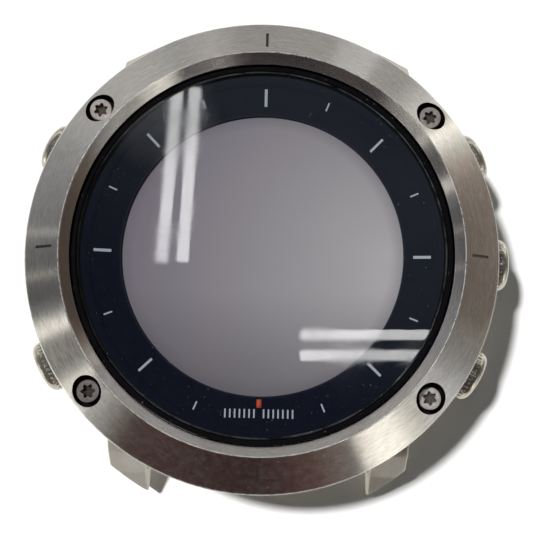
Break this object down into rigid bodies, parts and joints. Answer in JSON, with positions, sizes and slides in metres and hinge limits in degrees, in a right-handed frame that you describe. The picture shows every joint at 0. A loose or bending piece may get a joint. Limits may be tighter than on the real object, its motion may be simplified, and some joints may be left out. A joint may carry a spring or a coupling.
{
  "type": "dive computer",
  "caption": "Round wrist dive computer head with a conical steel bezel, flat crystal over a switched-off display, side pushers and strap horns.",
  "frame": {"origin": "centre of the flat outer face of the case back", "axes": "+Z out of the display, +Y to 12 o'clock, +X to 3 o'clock"},
  "size_m": [0.0519, 0.0518, 0.0165],
  "materials": {
    "bezel_steel": "circular brushed cone with a polished ridge",
    "case_steel": "fine bead blasted",
    "screw_steel": "turned",
    "crystal": "polished, clear",
    "black_rubber": "matte",
    "dial_print": "satin print with light marks",
    "display": "switched-off display, satin",
    "white_plastic": "diffusing",
    "dark_plastic": "moulded",
    "board_green": "solder mask",
    "tin": "tinned sheet",
    "gold": "gold plated",
    "battery_foil": "laminated foil",
    "spring_steel": "drawn wire and stamped sheet",
    "polyimide": "flexible circuit film"
  },
  "bodies": {
    "case": {"bezel": "bezel_steel", "mid_case": "case_steel", "case_back": "case_steel", "sensor_grille": "case_steel", "crystal": "crystal", "crystal_gasket": "black_rubber", "dial_ring": "dial_print", "display_panel": "display", "backlight_plate": "white_plastic", "display_frame": "dark_plastic", "display_ribbon": "polyimide", "circuit_board": "board_green", "board_shield": "tin", "gps_antenna": "gold", "battery": "battery_foil", "vibration_motor": "tin", "buzzer": "gold", "pressure_sensor": "tin", "sensor_seal": "black_rubber", "back_seal": "black_rubber", "contact_carrier": "dark_plastic", "bezel_screw_1": "screw_steel", "back_screw_1": "screw_steel", "charge_pin_1": "gold", "bezel_screw_2": "screw_steel", "back_screw_2": "screw_steel", "charge_pin_2": "gold", "bezel_screw_3": "screw_steel", "back_screw_3": "screw_steel", "charge_pin_3": "gold", "bezel_screw_4": "screw_steel", "back_screw_4": "screw_steel", "charge_pin_4": "gold", "sleeve_start": "screw_steel", "seal_start": "black_rubber", "spring_start": "spring_steel", "sleeve_next": "screw_steel", "seal_next": "black_rubber", "spring_next": "spring_steel", "sleeve_light": "screw_steel", "seal_light": "black_rubber", "spring_light": "spring_steel", "sleeve_view": "screw_steel", "seal_view": "black_rubber", "spring_view": "spring_steel", "sleeve_back": "screw_steel", "seal_back": "black_rubber", "spring_back": "spring_steel"},
    "pusher_start": {"pusher_start": "case_steel", "clip_start": "spring_steel"},
    "pusher_next": {"pusher_next": "case_steel", "clip_next": "spring_steel"},
    "pusher_light": {"pusher_light": "case_steel", "clip_light": "spring_steel"},
    "pusher_view": {"pusher_view": "case_steel", "clip_view": "spring_steel"},
    "pusher_back": {"pusher_back": "case_steel", "clip_back": "spring_steel"}
  },
  "joints": [
    {"name": "press_start", "type": "slide", "parent": "case", "child": "pusher_start", "axis": [-0.8878, -0.4602, 0], "range_m": [0, 0.0008], "stiffness_N_per_m": 1500, "springref_m": -0.0005, "deforming": ["spring_start"]},
    {"name": "press_next", "type": "slide", "parent": "case", "child": "pusher_next", "axis": [-1, 0, 0], "range_m": [0, 0.0008], "stiffness_N_per_m": 1500, "springref_m": -0.0005, "deforming": ["spring_next"]},
    {"name": "press_light", "type": "slide", "parent": "case", "child": "pusher_light", "axis": [-0.8829, 0.4695, 0], "range_m": [0, 0.0008], "stiffness_N_per_m": 1500, "springref_m": -0.0005, "deforming": ["spring_light"]},
    {"name": "press_view", "type": "slide", "parent": "case", "child": "pusher_view", "axis": [0.8829, 0.4695, 0], "range_m": [0, 0.0008], "stiffness_N_per_m": 1500, "springref_m": -0.0005, "deforming": ["spring_view"]},
    {"name": "press_back", "type": "slide", "parent": "case", "child": "pusher_back", "axis": [0.8878, -0.4602, 0], "range_m": [0, 0.0008], "stiffness_N_per_m": 1500, "springref_m": -0.0005, "deforming": ["spring_back"]}
  ]
}
